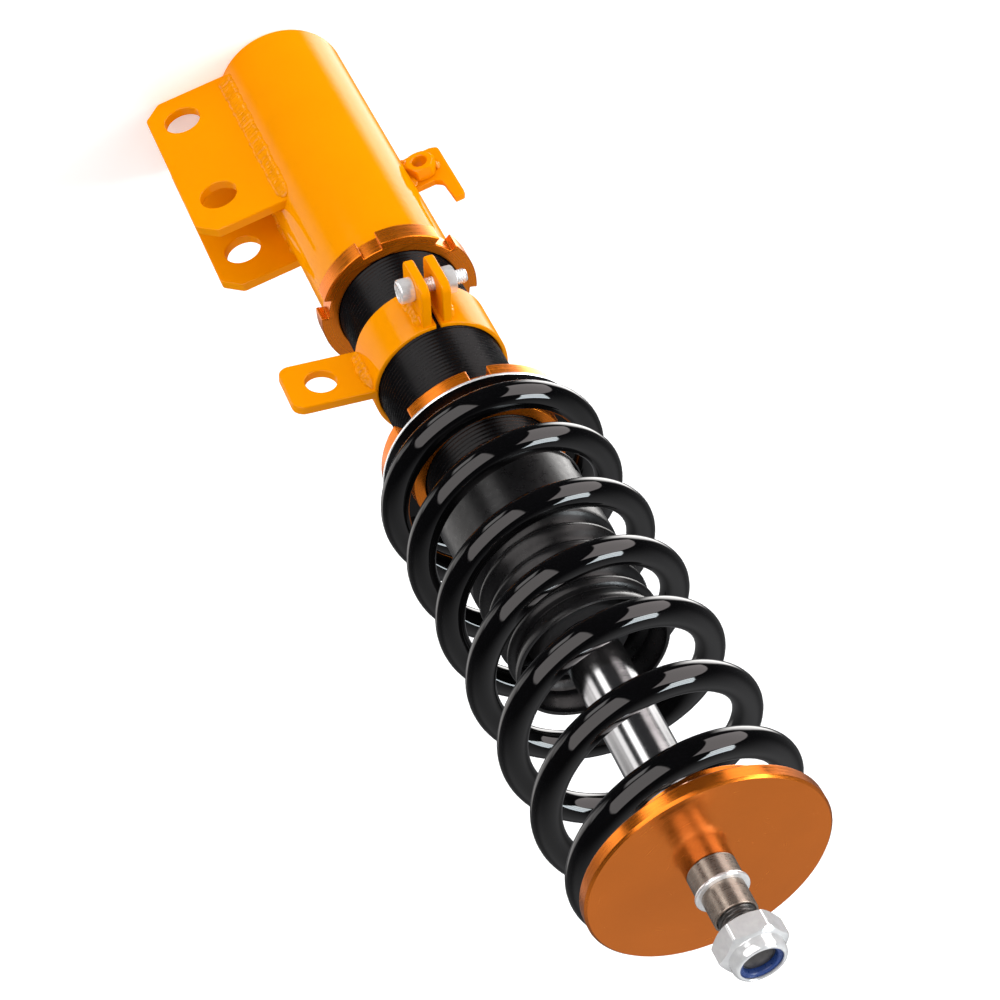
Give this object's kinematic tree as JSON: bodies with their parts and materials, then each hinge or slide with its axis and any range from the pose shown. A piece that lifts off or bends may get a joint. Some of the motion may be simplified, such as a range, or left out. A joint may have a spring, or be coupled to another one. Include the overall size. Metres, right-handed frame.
{
  "type": "coilover strut",
  "caption": "Adjustable suspension strut: clevis bracket, threaded damper body with lock ring and link-tab clamp, castellated spring perch, coil spring, dust boot, rod and studded upper perch.",
  "frame": {"origin": "centre of the closed bottom end of the bracket tube, on the strut axis", "axes": "+Z along the strut axis from the bracket to the top nut, +X towards the knuckle plates, +Y along the knuckle bolts"},
  "size_m": [0.1116, 0.0932, 0.5205],
  "materials": {
    "yellow_paint": "glossy amber-yellow enamel",
    "orange_anodised": "orange anodised",
    "black_anodised": "satin black",
    "black_powdercoat": "gloss black powder coat",
    "black_rubber": "smooth black",
    "foam": "black microcellular foam",
    "hard_chrome": "mirror",
    "zinc_steel": "bright zinc plated",
    "bare_steel": "machined",
    "blue_nylon": "smooth",
    "ptfe": "matt"
  },
  "bodies": {
    "lower_mount": {"strut_tube": "yellow_paint", "tube_base_plate": "yellow_paint", "knuckle_plate_front": "yellow_paint", "knuckle_plate_rear": "yellow_paint", "knuckle_weld_beads": "yellow_paint", "line_tab": "yellow_paint", "line_tab_nut": "yellow_paint"},
    "lock_ring": {"bracket_lock_ring": "orange_anodised"},
    "damper_body": {"threaded_body": "black_anodised", "gland_nut": "black_anodised", "rod_guide": "bare_steel", "rod_seal": "black_rubber", "dust_boot": "black_rubber", "bump_stop": "foam"},
    "gas_piston": {"floating_piston": "bare_steel", "floating_piston_seal": "black_rubber"},
    "clamp": {"clamp_band": "yellow_paint", "clamp_ears": "yellow_paint", "link_tab": "yellow_paint", "clamp_weld_beads": "yellow_paint"},
    "clamp_screw": {"clamp_bolt": "zinc_steel"},
    "clamp_screw_nut": {"clamp_nut": "zinc_steel"},
    "spring_seat": {"thrust_washer": "zinc_steel", "coil_spring": "black_powdercoat"},
    "lower_perch": {"perch_collar": "orange_anodised"},
    "top_perch": {"upper_perch": "orange_anodised"},
    "rod": {"piston_rod": "hard_chrome", "piston": "bare_steel", "piston_band": "ptfe", "valve_shims": "bare_steel", "piston_nut": "bare_steel", "stud_spacer": "bare_steel", "stud_washer": "zinc_steel", "stud_sleeve": "zinc_steel"},
    "stud_nut": {"top_nut": "zinc_steel", "nylon_insert": "blue_nylon"}
  },
  "joints": [
    {"name": "ride_height", "type": "slide", "parent": "lower_mount", "child": "damper_body", "axis": [0, 0, 1], "range_m": [-0.02, 0.03]},
    {"name": "lock_ring_turn", "type": "hinge", "parent": "lower_mount", "child": "lock_ring", "pos_m": [0, 0, 0.1643], "axis": [0, 0, 1], "continuous": true},
    {"name": "clamp_swivel", "type": "hinge", "parent": "damper_body", "child": "clamp", "pos_m": [0, 0, 0.207], "axis": [0, 0, 1], "continuous": true},
    {"name": "clamp_bolt_turn", "type": "hinge", "parent": "clamp", "child": "clamp_screw", "pos_m": [-0.00889, -0.03849, 0.207], "axis": [0.9744, -0.225, 0], "continuous": true},
    {"name": "clamp_nut_turn", "type": "hinge", "parent": "clamp", "child": "clamp_screw_nut", "pos_m": [-0.00889, -0.03849, 0.207], "axis": [0.9744, -0.225, 0], "continuous": true},
    {"name": "perch_travel", "type": "slide", "parent": "damper_body", "child": "spring_seat", "axis": [0, 0, 1], "range_m": [-0.015, 0.01]},
    {"name": "perch_turn", "type": "hinge", "parent": "spring_seat", "child": "lower_perch", "pos_m": [0, 0, 0.264], "axis": [0, 0, 1], "range_deg": [-2700, 1800]},
    {"name": "damper_stroke", "type": "slide", "parent": "spring_seat", "child": "top_perch", "axis": [0, 0, 1], "range_m": [-0.075, 0], "stiffness_N_per_m": 58800, "deforming": ["coil_spring"]},
    {"name": "rod_turn", "type": "hinge", "parent": "top_perch", "child": "rod", "pos_m": [0, 0, 0.475], "axis": [0, 0, 1], "continuous": true},
    {"name": "top_nut_turn", "type": "hinge", "parent": "rod", "child": "stud_nut", "pos_m": [0, 0, 0.512], "axis": [0, 0, 1], "continuous": true},
    {"name": "gas_piston_slide", "type": "slide", "parent": "damper_body", "child": "gas_piston", "axis": [0, 0, 1], "range_m": [-0.0175, 0.001]}
  ],
  "couplings": [
    {"joint": "perch_turn", "follows": "perch_travel", "rad_per_m": 3141.6},
    {"joint": "gas_piston_slide", "follows": "damper_stroke", "ratio": 0.22873}
  ]
}
